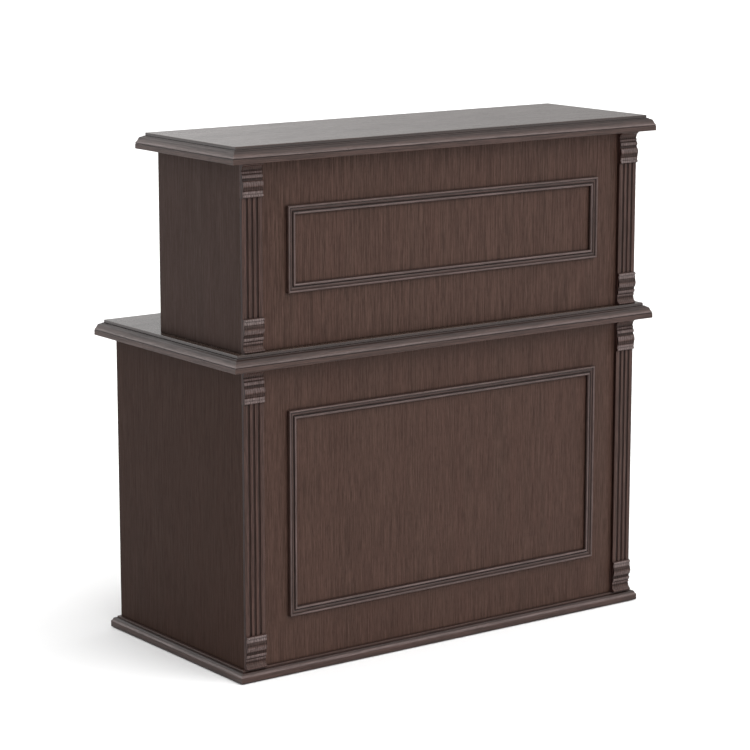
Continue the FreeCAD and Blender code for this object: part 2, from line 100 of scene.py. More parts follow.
class Bench:
    """Node tree of a material or a world, with short ways to add and join its nodes."""

    bevel_samples: int = 3
    hollow_samples: int = 6
    piece_shift: Direction = (1.0, 1.7, 2.3)
    downward: Direction = (0.0, 0.0, -1.0)
    edge_turn: Point = (0.995, 0.8)
    squareness: Point = (0.9, 0.98)
    openness: Point = (0.92, 0.25)
    mix_colour_inputs: tuple[int, int] = (6, 7)
    mix_colour_output: int = 2

    def __init__(self, owner: bpy.types.ID) -> None:
        """Start an empty node tree for a material or a world."""
        owner.use_nodes = True
        self.owner = owner
        self.tree = owner.node_tree
        self.tree.nodes.clear()

    def add(self, kind: str, **settings: object) -> bpy.types.Node:
        """Add a node.

        Args:
            kind: The node's type name without its ShaderNode prefix.
            settings: Properties to set on the node.

        Returns:
            The new node.
        """
        node = self.tree.nodes.new("ShaderNode" + kind)
        for key, value in settings.items():
            setattr(node, key, value)
        return node

    def feed(self, socket: bpy.types.NodeSocket, value: object) -> None:
        """Give an input its value, or the output that it is joined to.

        Args:
            socket: The input socket.
            value: A number, a vector, a colour or another node's output socket.
        """
        if isinstance(value, bpy.types.NodeSocket):
            self.tree.links.new(value, socket)
        else:
            socket.default_value = value

    def place(self) -> bpy.types.NodeSocket:
        """Position on the piece in metres, moved by a different amount for each piece.

        Returns:
            The output socket of the shifted position.
        """
        shift = self.add("VectorMath", operation="SCALE")
        shift.inputs[0].default_value = self.piece_shift
        self.feed(shift.inputs["Scale"], self.add("ObjectInfo").outputs["Random"])
        total = self.add("VectorMath", operation="ADD")
        self.feed(total.inputs[0], self.add("TexCoord").outputs["Object"])
        self.feed(total.inputs[1], shift.outputs[0])
        return total.outputs[0]

    def drawn_out(
        self, place: bpy.types.NodeSocket, grain: Grain, stretch: float
    ) -> bpy.types.NodeSocket:
        """Position with one direction compressed, so that a pattern on it is drawn out there.

        Args:
            place: The position's output socket.
            grain: The direction to draw out.
            stretch: How many times longer the pattern becomes along the grain.

        Returns:
            The output socket of the changed position.
        """
        scale = [1.0, 1.0, 1.0]
        scale[grain.value] = 1.0 / stretch
        node = self.add("Mapping", vector_type="POINT")
        self.feed(node.inputs["Vector"], place)
        node.inputs["Scale"].default_value = scale
        return node.outputs[0]

    def noise(
        self, place: bpy.types.NodeSocket, pattern: Pattern, grain: Grain | None = None
    ) -> bpy.types.NodeSocket:
        """Fractal noise.

        Args:
            place: The position's output socket.
            pattern: The noise's scale and detail.
            grain: The direction in which it is drawn out, if any.

        Returns:
            The output socket of the noise, from 0 to 1.
        """
        if grain is not None:
            place = self.drawn_out(place, grain, pattern.stretch)
        node = self.add("TexNoise")
        self.feed(node.inputs["Vector"], place)
        node.inputs["Scale"].default_value = pattern.per_metre
        node.inputs["Detail"].default_value = pattern.detail
        node.inputs["Roughness"].default_value = pattern.rough
        return node.outputs["Fac"]

    def spread(
        self, value: bpy.types.NodeSocket, start: Point, end: Point
    ) -> bpy.types.NodeSocket:
        """Move one range of a value onto another, clamped.

        Args:
            value: The value's output socket.
            start: The range that is read.
            end: The range that comes out.

        Returns:
            The output socket of the result.
        """
        node = self.add("MapRange")
        for index, number in enumerate((value, *start, *end)):
            self.feed(node.inputs[index], number)
        return node.outputs[0]

    def sums(self, operation: str, first: object, second: object) -> bpy.types.NodeSocket:
        """One step of arithmetic.

        Args:
            operation: The Math node's operation.
            first: A number or an output socket.
            second: A number or an output socket.

        Returns:
            The output socket of the result.
        """
        node = self.add("Math", operation=operation)
        self.feed(node.inputs[0], first)
        self.feed(node.inputs[1], second)
        return node.outputs[0]

    def ramp(
        self, value: bpy.types.NodeSocket, stops: dict[float, Colour]
    ) -> bpy.types.NodeSocket:
        """Turn a value into a colour.

        Args:
            value: The value's output socket.
            stops: Linear colours by the value at which each is reached.

        Returns:
            The output socket of the colour.
        """
        node = self.add("ValToRGB")
        elements = node.color_ramp.elements
        while len(elements) < len(stops):
            elements.new(0.5)
        for element, (position, colour) in zip(elements, sorted(stops.items())):
            element.position = position
            element.color = (*colour, 1.0)
        self.feed(node.inputs[0], value)
        return node.outputs["Color"]

    def mix(
        self, how: str, amount: object, first: object, second: object
    ) -> bpy.types.NodeSocket:
        """Mix two colours.

        Args:
            how: The blend type.
            amount: How much of the second colour, as a number or an output socket.
            first: The first colour, or its output socket.
            second: The second colour, or its output socket.

        Returns:
            The output socket of the mixed colour.
        """
        node = self.add("Mix", data_type="RGBA", blend_type=how)
        self.feed(node.inputs[0], amount)
        for index, colour in zip(self.mix_colour_inputs, (first, second)):
            self.feed(node.inputs[index], (*colour, 1.0) if isinstance(colour, tuple) else colour)
        return node.outputs[self.mix_colour_output]

    def arris(self, radius: float) -> bpy.types.NodeSocket:
        """How close a point is to a sharp edge of the piece.

        Args:
            radius: How far from the edge the value reaches, in metres.

        Returns:
            The output socket of the value, 0 on the flat and rising towards an edge.
        """
        bevel = self.add("Bevel", samples=self.bevel_samples)
        bevel.inputs["Radius"].default_value = radius
        dot = self.add("VectorMath", operation="DOT_PRODUCT")
        self.feed(dot.inputs[0], bevel.outputs[0])
        self.feed(dot.inputs[1], self.add("NewGeometry").outputs["Normal"])
        return self.spread(dot.outputs["Value"], self.edge_turn, (0.0, 1.0))

    def painted(self, name: str) -> bpy.types.NodeSocket:
        """Read a value stored on the piece's own mesh.

        Args:
            name: The attribute's name.

        Returns:
            The output socket of the value.
        """
        return self.add("Attribute", attribute_name=name).outputs["Fac"]

    def facing(self, weights: Direction) -> bpy.types.NodeSocket:
        """How squarely a face looks along the chosen axes.

        Args:
            weights: The weight of each of the three axes.

        Returns:
            The output socket of the value, 1 on faces that look along a weighted axis.
        """
        size = self.add("VectorMath", operation="ABSOLUTE")
        self.feed(size.inputs[0], self.add("NewGeometry").outputs["Normal"])
        dot = self.add("VectorMath", operation="DOT_PRODUCT")
        self.feed(dot.inputs[0], size.outputs[0])
        dot.inputs[1].default_value = weights
        return self.spread(dot.outputs["Value"], self.squareness, (0.0, 1.0))

    def underside(self, amount: float) -> bpy.types.NodeSocket:
        """Mark the faces that look down.

        Args:
            amount: The value on them.

        Returns:
            The output socket of the value, 0 on all other faces.
        """
        dot = self.add("VectorMath", operation="DOT_PRODUCT")
        self.feed(dot.inputs[0], self.add("NewGeometry").outputs["Normal"])
        dot.inputs[1].default_value = self.downward
        return self.spread(dot.outputs["Value"], self.squareness, (0.0, amount))

    def hollow(self, reach: float) -> bpy.types.NodeSocket:
        """How deep a point lies in a hollow or against another piece.

        Args:
            reach: How far around the point is looked at, in metres.

        Returns:
            The output socket of the value, 0 in the open and 1 in a deep hollow.
        """
        node = self.add("AmbientOcclusion", samples=self.hollow_samples)
        node.inputs["Distance"].default_value = reach
        return self.spread(node.outputs["AO"], self.openness, (0.0, 1.0))

    def relief(
        self, height: bpy.types.NodeSocket, strength: float, depth: float
    ) -> bpy.types.NodeSocket:
        """Bumped normal.

        Args:
            height: The height's output socket.
            strength: How strongly the relief shows.
            depth: The height of the relief in metres.

        Returns:
            The output socket of the normal.
        """
        node = self.add("Bump")
        node.inputs["Strength"].default_value = strength
        node.inputs["Distance"].default_value = depth
        self.feed(node.inputs["Height"], height)
        return node.outputs[0]

    def finish(self, inputs: dict[str, object]) -> bpy.types.Material:
        """Close the tree with a Principled shader.

        Args:
            inputs: Numbers or output sockets by the name of the shader's input.

        Returns:
            The finished material.
        """
        shader = self.add("BsdfPrincipled")
        for name, value in inputs.items():
            self.feed(shader.inputs[name], value)
        self.feed(self.add("OutputMaterial").inputs["Surface"], shader.outputs[0])
        return self.owner


# ---------------------------------------------------------------- finishes
BARE_ROUGHNESS = 0.95
FULL = (0.0, 1.0)
MIDDLE = (0.3, 0.7)
BAND_RANGE = (0.25, 0.75)
STREAKS = Pattern(380, 3, 0.6, stretch=44)
LINES = Pattern(760, 2, 0.6, stretch=24)
PORES = Pattern(900, 2, stretch=14)
BANDS = Pattern(16, 3, stretch=14)
TINTS = Pattern(24, 2, stretch=14)
TINT_TONES = {0.3: (1.02, 0.99, 0.985), 0.7: (0.985, 1.005, 0.995)}
# Painted shade: the stain is darkened towards this in hollows, grooves and against other pieces.
HOLLOW_SHADE_TONE = (0.30, 0.27, 0.26)
# Painted shade on the faces that look along a finish's chosen axes.
SHADED_TONE = (0.52, 0.38, 0.36)
# Glaze and painted light by amount, with the plain amount leaving the stain unchanged: low amounts
# are a painted highlight greyed like a reflection, high amounts dark glaze with painted shade.
PLAIN_GLAZE_AND_PAINTED_LIGHT = 0.3
GLAZE_AND_PAINTED_LIGHT_TONES = {
    0.0: (2.6, 3.7, 4.4),
    0.18: (1.65, 2.05, 2.35),
    PLAIN_GLAZE_AND_PAINTED_LIGHT: (1.0, 1.0, 1.0),
    1.0: (0.38, 0.32, 0.30),
}


@dataclass(frozen=True)
class StainedWood:
    """Dark stained wood with fine straight grain under a thin lacquer, with painted shade in
    hollows and on faces along chosen axes, and where it is glazed, painted highlights and painted
    shade.

    Each reach and the relief depth are in millimetres. A share is how much of a change is laid
    on: a single amount, or the least and the most.
    """

    name: str
    slot: Slot
    dark: Colour
    body: Colour
    light: Colour
    roughness: Point
    specular: float
    line_share: float = 0.8
    band_share: Point = (-0.03, 0.03)
    tone_stops: tuple[float, float, float] = (0.33, 0.5, 0.70)
    pore_edge: Point = (0.58, 0.70)
    pore_darkening: float = 0.22
    pore_relief: float = 0.5
    relief: float = 0.25
    relief_depth: float = 0.25
    worn_reach: float = 1.6
    worn_share: Point = (0.0, 0.3)
    worn_paleness: float = 0.35
    hollow_reach: float = 7.0
    hollow_shade_share: Point = (0.0, 0.75)
    # Whether the glaze with its painted highlights and painted shade is laid on.
    has_glaze_and_painted_light: bool = False
    # Weights of the axes along which faces get painted shade; none by default.
    shaded_faces: Direction = (0.0, 0.0, 0.0)

    def material(self, grain: Grain) -> bpy.types.Material:
        """Make or reuse the material with its grain in one direction.

        Args:
            grain: The direction in which the grain runs.

        Returns:
            The material.
        """
        name = self.name + "_" + grain.name.lower()
        return bpy.data.materials.get(name) or self._make(name, grain)

    def _make(self, name: str, grain: Grain) -> bpy.types.Material:
        """Build the node tree.

        Args:
            name: The material's name.
            grain: The direction in which the grain runs.

        Returns:
            The material.
        """
        bench = Bench(bpy.data.materials.new(name))
        place = bench.place()
        streaks, lines, pores, bands, tints = (
            bench.noise(place, pattern, grain) for pattern in (STREAKS, LINES, PORES, BANDS, TINTS)
        )
        open_pores = bench.spread(pores, self.pore_edge, FULL)

        tone = bench.sums("MULTIPLY_ADD", lines, self.line_share)
        tone.node.inputs[2].default_value = -self.line_share / 2
        tone = bench.sums("ADD", tone, streaks)
        tone = bench.sums("ADD", tone, bench.spread(bands, BAND_RANGE, self.band_share))
        dip = bench.spread(open_pores, FULL, (0.0, self.pore_darkening))
        tone = bench.sums("SUBTRACT", tone, dip)
        colours = (self.dark, self.body, self.light)
        stain = bench.ramp(tone, dict(zip(self.tone_stops, colours)))
        stain = bench.mix("MULTIPLY", 1.0, stain, bench.ramp(tints, TINT_TONES))
        stain = self._aged(bench, stain)

        smooth, rough = self.roughness
        gloss = bench.spread(tone, MIDDLE, (rough, smooth))
        gloss = bench.sums("MAXIMUM", gloss, bench.underside(BARE_ROUGHNESS))
        dent = bench.sums("MULTIPLY", open_pores, self.pore_relief)
        height = bench.sums("SUBTRACT", streaks, dent)
        return bench.finish(
            {
                "Base Color": stain,
                "Roughness": gloss,
                "Specular IOR Level": self.specular,
                "Normal": bench.relief(height, self.relief, self.relief_depth * MM),
            }
        )

    def _aged(self, bench: Bench, stain: bpy.types.NodeSocket) -> bpy.types.NodeSocket:
        """Rub the stain paler on the edges as wear, paint shade into hollows and against other
        pieces, lay on the glaze with its painted highlights and painted shade, and paint shade on
        faces that look along the chosen axes.

        Args:
            bench: The material's node bench.
            stain: The plain stain's output socket.

        Returns:
            The output socket of the changed stain.
        """
        edge = bench.arris(self.worn_reach * MM)
        paler = tuple(self.worn_paleness * channel for channel in self.light)
        worn = bench.mix("ADD", 1.0, stain, paler)
        stain = bench.mix("MIX", bench.spread(edge, FULL, self.worn_share), stain, worn)
        # Painted shade in hollows and where the piece meets another piece.
        hollow_shade = bench.spread(bench.hollow(self.hollow_reach * MM), FULL, self.hollow_shade_share)
        stain = bench.mix("MULTIPLY", hollow_shade, stain, HOLLOW_SHADE_TONE)
        # Glaze from the mesh: painted highlight on proud beads, dark glaze and painted shade in
        # grooves.
        if self.has_glaze_and_painted_light:
            glaze_and_painted_light = bench.ramp(bench.painted(GLAZE_AND_PAINTED_LIGHT_LAYER), GLAZE_AND_PAINTED_LIGHT_TONES)
            stain = bench.mix("MULTIPLY", 1.0, stain, glaze_and_painted_light)
        # Painted shade on faces that look along the chosen axes.
        if any(self.shaded_faces):
            stain = bench.mix("MULTIPLY", bench.facing(self.shaded_faces), stain, SHADED_TONE)
        return stain


@dataclass(frozen=True)
class Metal:
    """Plated or cast metal with a fine brushed face, a random patina and brighter worn edges."""

    name: str
    slot: Slot
    dull: Colour
    bright: Colour
    roughness: Point
    brushes: Pattern = Pattern(2600, 2, stretch=25)
    patina: Pattern = Pattern(160, 5, 0.65)
    tone_stops: Point = (0.32, 0.62)
    gloss_range: Point = (0.7, 1.3)
    worn_reach: float = 0.8
    worn_share: float = 0.35
    relief: float = 0.12
    relief_depth: float = 0.05

    def material(self) -> bpy.types.Material:
        """Make or reuse the material.

        Returns:
            The material.
        """
        known = bpy.data.materials.get(self.name)
        if known:
            return known
        bench = Bench(bpy.data.materials.new(self.name))
        place = bench.place()
        brushed = bench.noise(place, self.brushes, Grain.UPRIGHT)
        patina = bench.noise(place, self.patina)
        edge = bench.arris(self.worn_reach * MM)
        shine = bench.sums("ADD", patina, bench.sums("MULTIPLY", edge, self.worn_share))
        colour = bench.ramp(shine, dict(zip(self.tone_stops, (self.dull, self.bright))))
        smooth, rough = self.roughness
        gloss = bench.sums("ADD", patina, brushed)
        gloss = bench.spread(gloss, self.gloss_range, (rough, smooth))
        return bench.finish(
            {
                "Base Color": colour,
                "Metallic": 1.0,
                "Roughness": gloss,
                "Normal": bench.relief(brushed, self.relief, self.relief_depth * MM),
            }
        )


@dataclass(frozen=True)
class Plastic:
    """Moulded plastic with a fine sparked face."""

    name: str
    slot: Slot
    colour: Colour
    roughness: Point
    sparks: Pattern = Pattern(1800, 3, 0.6)
    cloud: Pattern = Pattern(40, 3)
    spark_share: float = 0.4
    tone_stops: Point = (0.5, 0.9)
    darker: float = 0.75
    lighter: float = 1.3
    relief: float = 0.3
    relief_depth: float = 0.05

    def material(self) -> bpy.types.Material:
        """Make or reuse the material.

        Returns:
            The material.
        """
        known = bpy.data.materials.get(self.name)
        if known:
            return known
        bench = Bench(bpy.data.materials.new(self.name))
        place = bench.place()
        sparks = bench.noise(place, self.sparks)
        cloud = bench.noise(place, self.cloud)
        darker = tuple(self.darker * channel for channel in self.colour)
        lighter = tuple(self.lighter * channel for channel in self.colour)
        mixed = bench.sums("ADD", bench.sums("MULTIPLY", sparks, self.spark_share), cloud)
        colour = bench.ramp(mixed, dict(zip(self.tone_stops, (darker, lighter))))
        return bench.finish(
            {
                "Base Color": colour,
                "Roughness": bench.spread(cloud, MIDDLE, self.roughness),
                "Normal": bench.relief(sparks, self.relief, self.relief_depth * MM),
            }
        )


@dataclass(frozen=True)
class StudioFloor:
    """Pale matt studio floor."""

    name: str = "studio_floor"
    colour: Colour = (0.90, 0.90, 0.90)
    roughness: Point = (0.75, 0.85)
    cloud: Pattern = Pattern(0.8, 2)
    darker: float = 0.985
    specular: float = 0.1

    def material(self) -> bpy.types.Material:
        """Make the material.

        Returns:
            The material.
        """
        bench = Bench(bpy.data.materials.new(self.name))
        place = bench.place()
        cloud = bench.noise(place, self.cloud)
        darker = tuple(self.darker * channel for channel in self.colour)
        return bench.finish(
            {
                "Base Color": bench.ramp(cloud, dict(zip(MIDDLE, (darker, self.colour)))),
                "Roughness": bench.spread(cloud, MIDDLE, self.roughness),
                "Specular IOR Level": self.specular,
            }
        )


PANEL_WOOD = StainedWood(
    name="stained_panel",
    slot=Slot.PANEL,
    dark=(0.0287, 0.0143, 0.0100),
    body=(0.0451, 0.0232, 0.0171),
    light=(0.0624, 0.0335, 0.0252),
    roughness=(0.44, 0.58),
    specular=0.12,
)
# Darker copy of the panel stain for the lower side boards: painted shade for the less-lit sides.
SHADED_SIDE_WOOD = replace(
    PANEL_WOOD,
    name="stained_side_painted_shade",
    dark=(0.0221, 0.0104, 0.0069),
    body=(0.0284, 0.0136, 0.0093),
    light=(0.0353, 0.0173, 0.0120),
    specular=0.05,
)
# Copy of the side stain for the upper side boards, less darkened: painted shade.
UPPER_SHADED_SIDE_WOOD = replace(
    SHADED_SIDE_WOOD,
    name="stained_upper_side_painted_shade",
    dark=(0.0282, 0.0163, 0.0130),
    body=(0.0362, 0.0214, 0.0176),
    light=(0.0450, 0.0271, 0.0226),
)
MOULDING_WOOD = StainedWood(
    name="stained_moulding",
    slot=Slot.MOULDING,
    dark=(0.0274, 0.0145, 0.0113),
    body=(0.0441, 0.0236, 0.0191),
    light=(0.0635, 0.0351, 0.0288),
    roughness=(0.34, 0.46),
    specular=0.24,
    has_glaze_and_painted_light=True,
)
# Pilasters and carved blocks: painted shade on the faces that look left or right.
PILASTER_WOOD = replace(
    MOULDING_WOOD, name="stained_pilaster", specular=0.15, shaded_faces=(1.0, 0.0, 0.0)
)
TOP_WOOD = StainedWood(
    name="lacquered_top",
    slot=Slot.TOP,
    dark=(0.0235, 0.0135, 0.0095),
    body=(0.0370, 0.0220, 0.0160),
    light=(0.0530, 0.0325, 0.0240),
    roughness=(0.20, 0.28),
    specular=0.45,
    relief=0.12,
    # Painted shade on the board's upright edges.
    shaded_faces=(1.0, 1.0, 0.0),
)
AGED_BRASS = Metal(
    name="aged_brass",
    slot=Slot.BRASS,
    dull=(0.16, 0.095, 0.035),
    bright=(0.55, 0.38, 0.16),
    roughness=(0.26, 0.5),
)
NICKEL = Metal(
    name="nickel_plate",
    slot=Slot.STEEL,
    dull=(0.36, 0.35, 0.33),
    bright=(0.62, 0.61, 0.58),
    roughness=(0.2, 0.4),
)
GLIDE_PLASTIC = Plastic("glide_plastic_black", Slot.GLIDE, (0.02, 0.018, 0.016), (0.45, 0.6))
BLOCK_PLASTIC = Plastic("fitting_plastic_brown", Slot.BLOCK, (0.05, 0.03, 0.02), (0.4, 0.55))


# ---------------------------------------------------------------- shapes
@dataclass(frozen=True)
class Outline:
    """Closed outline in millimetres: a step is the next corner, or (through, end) of an arc.

    Its glaze and painted light is listed as (distance, amount), by the corner's first or second
    measure: from 0, a painted highlight on proud beads, to 1, dark glaze and painted shade in the
    grooves.
    """

    steps: tuple
    arris: float = 0.5
    glaze_and_painted_light: tuple[Point, ...] = ()
    glaze_and_painted_light_by: int = 0
    arc_turn: float = math.radians(9)
    fewest_runs: int = 3
    sharp_turn: float = math.radians(24)
    sharpest_turn: float = 2.6
    longest_share: float = 0.45
    rounding: tuple[float, ...] = (0.0, 0.25, 0.5, 0.75, 1.0)

    def corners(self) -> list[Vector]:
        """List the outline's corners, with its arcs divided into short runs.

        Returns:
            The corners in order.
        """
        points = [Vector(self.steps[0])]
        for step in self.steps[1:]:
            if isinstance(step[0], tuple):
                points.extend(self._arc(points[-1], Vector(step[0]), Vector(step[1])))
            else:
                points.append(Vector(step))
        return points

    def _arc(self, start: Vector, through: Vector, end: Vector) -> list[Vector]:
        """Divide an arc.

        Args:
            start: Where the arc starts.
            through: A point on the arc.
            end: Where the arc ends.

        Returns:
            The points after the start, the end among them.
        """
        a, b, c = (point.length_squared for point in (start, through, end))
        double = 2 * (
            start.x * (through.y - end.y)
            + through.x * (end.y - start.y)
            + end.x * (start.y - through.y)
        )
        middle = Vector(
            (
                a * (through.y - end.y) + b * (end.y - start.y) + c * (start.y - through.y),
                a * (end.x - through.x) + b * (start.x - end.x) + c * (through.x - start.x),
            )
        )
        middle /= double
        first, half, last = (
            math.atan2(point.y - middle.y, point.x - middle.x) for point in (start, through, end)
        )
        turn = (last - first) % math.tau
        if (half - first) % math.tau > turn:
            turn -= math.tau
        count = max(self.fewest_runs, math.ceil(abs(turn) / self.arc_turn))
        radius = (start - middle).length
        angles = [first + turn * step / count for step in range(1, count + 1)]
        return [middle + radius * Vector((math.cos(a), math.sin(a))) for a in angles]

    def glaze_and_painted_light_at(self, corner: Vector) -> float:
        """Find how much glaze and painted light lies at a corner.

        Args:
            corner: The corner.

        Returns:
            The amount of glaze and painted light.
        """
        if not self.glaze_and_painted_light:
            return PLAIN_GLAZE_AND_PAINTED_LIGHT
        distance = corner[self.glaze_and_painted_light_by]
        for (start, before), (end, after) in zip(self.glaze_and_painted_light, self.glaze_and_painted_light[1:]):
            if distance <= end:
                return before + (after - before) * max(0.0, distance - start) / (end - start)
        return self.glaze_and_painted_light[-1][1]

    def eased(self) -> list[Vector]:
        """List the outline's corners with every sharp one rounded over.

        Returns:
            The corners in order.
        """
        corners = self.corners()
        result = []
        for index, here in enumerate(corners):
            come = here - corners[index - 1]
            leave = corners[(index + 1) % len(corners)] - here
            turn = abs(come.angle_signed(leave))
            if turn < self.sharp_turn:
                result.append(here)
                continue
            reach = self.arris * math.tan(min(turn, self.sharpest_turn) / 2)
            reach = min(reach, self.longest_share * min(come.length, leave.length))
            before = here - come.normalized() * reach
            after = here + leave.normalized() * reach
            for part in self.rounding:
                result.append(before.lerp(here, part).lerp(here.lerp(after, part), part))
        return result


@dataclass(frozen=True)
class Bearing:
    """Where a swept piece lies: the middle of its section's corner line and its directions."""

    origin: Vector
    along: Vector
    across: Vector
    out: Vector


# Radius below which a turned profile closes to a point, and distance at which corners merge.
ON_AXIS = 0.01 * MM
WELD_REACH = 0.001 * MM
FLAT_TURN = math.radians(0.5)
BEVEL_SEGMENTS = 3
SHADING_WEIGHT = 80


def make_object(name: str, shape: bmesh.types.BMesh, sharp: float = 40.0) -> bpy.types.Object:
    """Turn an edited mesh into an object at the origin.

    Args:
        name: The object's name.
        shape: The edited mesh, which is freed.
        sharp: The angle in degrees above which an edge is shaded sharp.

    Returns:
        The object, linked to the scene.
    """
    bmesh.ops.recalc_face_normals(shape, faces=shape.faces)
    mesh = bpy.data.meshes.new(name)
    shape.to_mesh(mesh)
    shape.free()
    for polygon in mesh.polygons:
        polygon.use_smooth = True
    mesh.set_sharp_from_angle(angle=math.radians(sharp))
    piece = bpy.data.objects.new(name, mesh)
    bpy.context.scene.collection.objects.link(piece)
    return piece


def swept(
    name: str, outline: Outline, bearing: Bearing, half: float, mitre: float = 0.0
) -> bpy.types.Object:
    """Sweep a section along a straight line.

    Args:
        name: The piece's name.
        outline: The section: distance across, and distance out.
        bearing: Where the piece lies.
        half: Half of its length at the section's corner line, in metres.
        mitre: How much each end is shortened for each unit across: 0 for a square end.

    Returns:
        The piece.
    """
    shape = bmesh.new()
    glaze_and_painted_light = shape.verts.layers.float.new(GLAZE_AND_PAINTED_LIGHT_LAYER)
    rings = []
    for end in (-1, 1):
        ring = []
        for corner in outline.eased():
            reach = end * (half - mitre * corner.x * MM)
            spot = bearing.origin + bearing.along * reach
            spot = spot + (bearing.across * corner.x + bearing.out * corner.y) * MM
            ring.append(shape.verts.new(spot))
            # Store each corner's glaze and painted light on the mesh.
            ring[-1][glaze_and_painted_light] = outline.glaze_and_painted_light_at(corner)
        rings.append(ring)
    for ring in rings:
        shape.faces.new(ring)
    count = len(rings[0])
    for index in range(count):
        after = (index + 1) % count
        shape.faces.new((rings[0][index], rings[0][after], rings[1][after], rings[1][index]))
    return make_object(name, shape)


def turned(
    name: str, outline: Outline, foot: Vector, axis: Vector, segments: int = 72
) -> bpy.types.Object:
    """Turn a profile round an axis.

    Args:
        name: The piece's name.
        outline: Distance from the axis, and distance along it; it starts and ends on the axis.
        foot: Where the axis starts.
        axis: The axis's direction.
        segments: How many faces go round.

    Returns:
        The piece.
    """
    side = axis.orthogonal().normalized()
    other = axis.cross(side)
    shape = bmesh.new()
    rings = []
    for radius, reach in (point * MM for point in outline.eased()):
        centre = foot + axis * reach
        if radius < ON_AXIS:
            rings.append([shape.verts.new(centre)])
            continue
        angles = [math.tau * step / segments for step in range(segments)]
        rings.append(
            [
                shape.verts.new(centre + radius * (side * math.cos(a) + other * math.sin(a)))
                for a in angles
            ]
        )
    for ring, further in zip(rings, rings[1:]):
        for step in range(segments):
            after = (step + 1) % segments
            corners = [ring[step % len(ring)], ring[after % len(ring)]]
            corners += [further[after % len(further)], further[step % len(further)]]
            distinct = list(dict.fromkeys(corners))
            if len(distinct) > 2:
                shape.faces.new(distinct)
    return make_object(name, shape)


def ease_edges(piece: bpy.types.Object, width: float, angle: float = 45.0) -> None:
    """Round over the edges of a piece with modifiers, which leave its own mesh alone.

    Args:
        piece: The piece.
        width: How wide the rounding is, in millimetres.
        angle: The angle in degrees above which an edge is rounded.
    """
    weld = piece.modifiers.new("weld", "WELD")
    weld.merge_threshold = WELD_REACH
    flats = piece.modifiers.new("flats", "DECIMATE")
    flats.decimate_type = "DISSOLVE"
    flats.angle_limit = FLAT_TURN
    bevel = piece.modifiers.new("arris", "BEVEL")
    bevel.width = width * MM
    bevel.segments = BEVEL_SEGMENTS
    bevel.limit_method = "ANGLE"
    bevel.angle_limit = math.radians(angle)
    bevel.use_clamp_overlap = True
    normals = piece.modifiers.new("shading", "WEIGHTED_NORMAL")
    normals.weight = SHADING_WEIGHT
    normals.keep_sharp = False


def dress(
    piece: bpy.types.Object, material: bpy.types.Material, body: str
) -> bpy.types.Object:
    """Give a new piece its material and its body.

    Args:
        piece: The piece.
        material: Its material.
        body: The CAD body that it moves with.

    Returns:
        The piece.
    """
    piece.data.materials.clear()
    piece.data.materials.append(material)
    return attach(piece, body)


def dress_node(name: str, material: bpy.types.Material, arris: float) -> str:
    """Give a CAD node its material and eased edges.

    Args:
        name: The node's name.
        material: Its material.
        arris: How wide its edges are rounded, in millimetres, or 0 to leave them.

    Returns:
        The node's name.
    """
    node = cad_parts[name]
    for material_slot in node.material_slots:
        material_slot.material = material
    if arris:
        ease_edges(node, arris)
    return name


# ---------------------------------------------------------------- moulded boards
@dataclass
class MouldedBoard:
    """Board with a moulding of its own grain mitred round its four edges.

    The board's long edges are rounded in its section, and its ends by a modifier.
    """

    node: str
    inset: float
    section: Outline
    finish: StainedWood
    edge_finish: StainedWood
    board_arris: float = 0.9
    end_arris: float = 0.72
    end_angle: float = 60.0

    def build(self) -> list[bpy.types.Object]:
        """Make the board and its four mouldings.

        Returns:
            The pieces.
        """
        low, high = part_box(self.node)
        pieces = [self._board(low, high)]
        middle = (low + high) / 2
        middle.z = high.z
        reach = (high - low) / 2
        edges = {
            "front": (FORWARD, RIGHTWARD, reach.y, reach.x, Grain.SIDEWAYS),
            "back": (BACKWARD, RIGHTWARD, reach.y, reach.x, Grain.SIDEWAYS),
            "left": (-RIGHTWARD, BACKWARD, reach.x, reach.y, Grain.DEPTHWAYS),
            "right": (RIGHTWARD, BACKWARD, reach.x, reach.y, Grain.DEPTHWAYS),
        }
        for word, (outward, along, distance, half, grain) in edges.items():
            bearing = Bearing(middle + outward * distance, along, -outward, UP)
            name = f"{self.node}_{word}_moulding"
            piece = swept(name, self.section, bearing, half, mitre=1.0)
            material = self.edge_finish.material(grain)
            pieces.append(dress(piece, material, FIXED_BODY))
        return pieces

    def _board(self, low: Vector, high: Vector) -> bpy.types.Object:
        """Make the board inside the mouldings.

        Args:
            low: The whole board's lowest corner.
            high: Its highest corner.

        Returns:
            The piece.
        """
        depth = (high.y - low.y) / MM - 2 * self.inset
        drop = (low.z - high.z) / MM
        outline = Outline(((0.0, 0.0), (depth, 0.0), (depth, drop), (0.0, drop)), self.board_arris)
        start = Vector(((low.x + high.x) / 2, low.y + self.inset * MM, high.z))
        bearing = Bearing(start, RIGHTWARD, BACKWARD, UP)
        half = (high.x - low.x) / 2 - self.inset * MM
        piece = swept(self.node + "_board", outline, bearing, half)
        ease_edges(piece, self.end_arris, self.end_angle)
        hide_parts(self.node)
        return dress(piece, self.finish.material(Grain.SIDEWAYS), FIXED_BODY)


